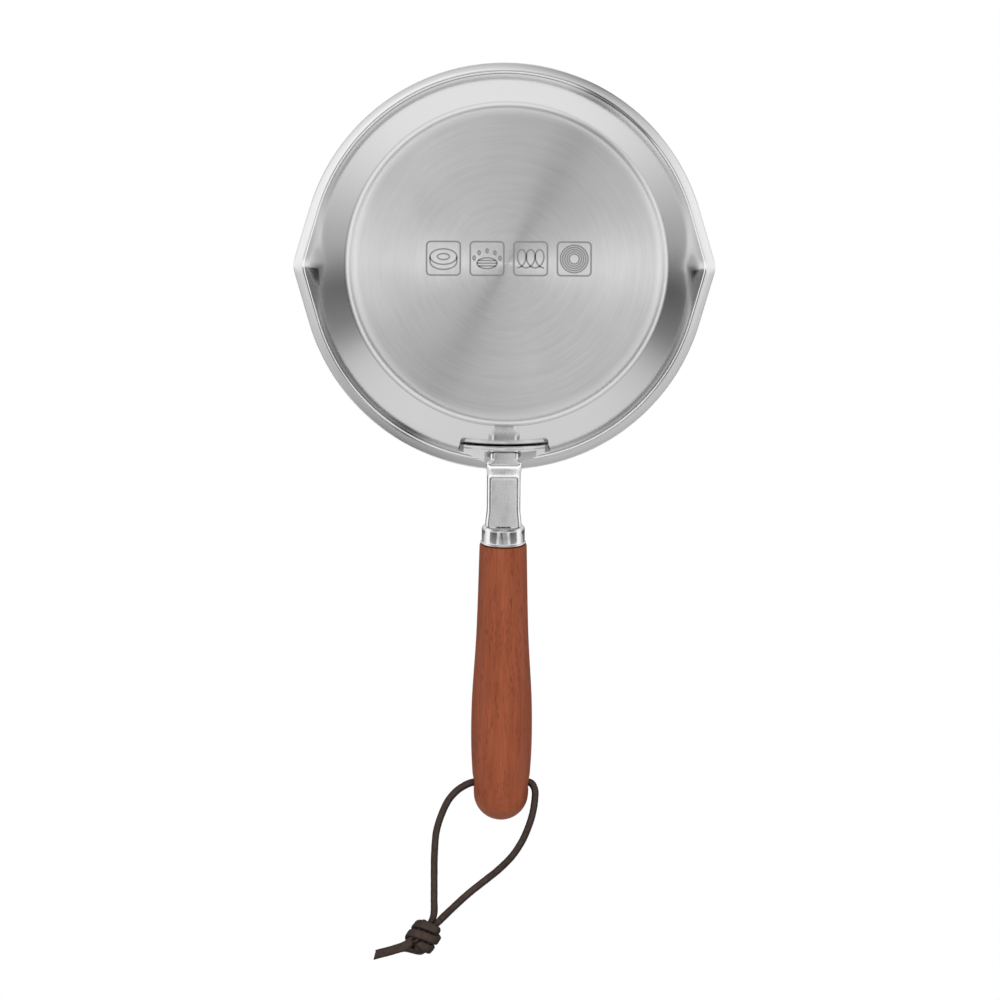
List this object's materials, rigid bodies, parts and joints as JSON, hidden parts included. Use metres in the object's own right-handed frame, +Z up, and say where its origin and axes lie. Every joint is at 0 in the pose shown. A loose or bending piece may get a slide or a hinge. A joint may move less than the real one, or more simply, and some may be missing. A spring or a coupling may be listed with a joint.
{
  "type": "egg pan",
  "caption": "Small steel pan with a flared wall, pouring spouts on both sides, a layered flat base, a turned wooden handle on a pressed arm and a knotted leather hanging loop.",
  "frame": {"origin": "centre of the base's flat underside, where the pan stands on the hob", "axes": "+Z up out of the pan's mouth, -Y along the handle, +X and -X towards the pouring spouts"},
  "size_m": [0.1322, 0.2812, 0.0666],
  "materials": {
    "bowl_steel": "satin, brushed round the axis",
    "cap_steel": "satin, spun round the axis",
    "core_aluminium": "plain",
    "bracket_steel": "polished",
    "ferrule_polished": "mirror polished",
    "grip_wood": "oiled, straight grain",
    "cord_leather": "matt"
  },
  "bodies": {
    "pan": {"bowl": "bowl_steel", "base_core": "core_aluminium", "base_cap": "cap_steel", "bracket_plate": "bracket_steel", "arm": "bracket_steel", "tang_rod": "bracket_steel", "ferrule": "ferrule_polished", "grip": "grip_wood"},
    "hanging_loop": {"hanging_cord": "cord_leather"}
  },
  "joints": [
    {"name": "loop_swing", "type": "hinge", "parent": "pan", "child": "hanging_loop", "pos_m": [0, -0.16297, 0.05731], "axis": [1, 0, 0], "range_deg": [-175, 115]}
  ]
}
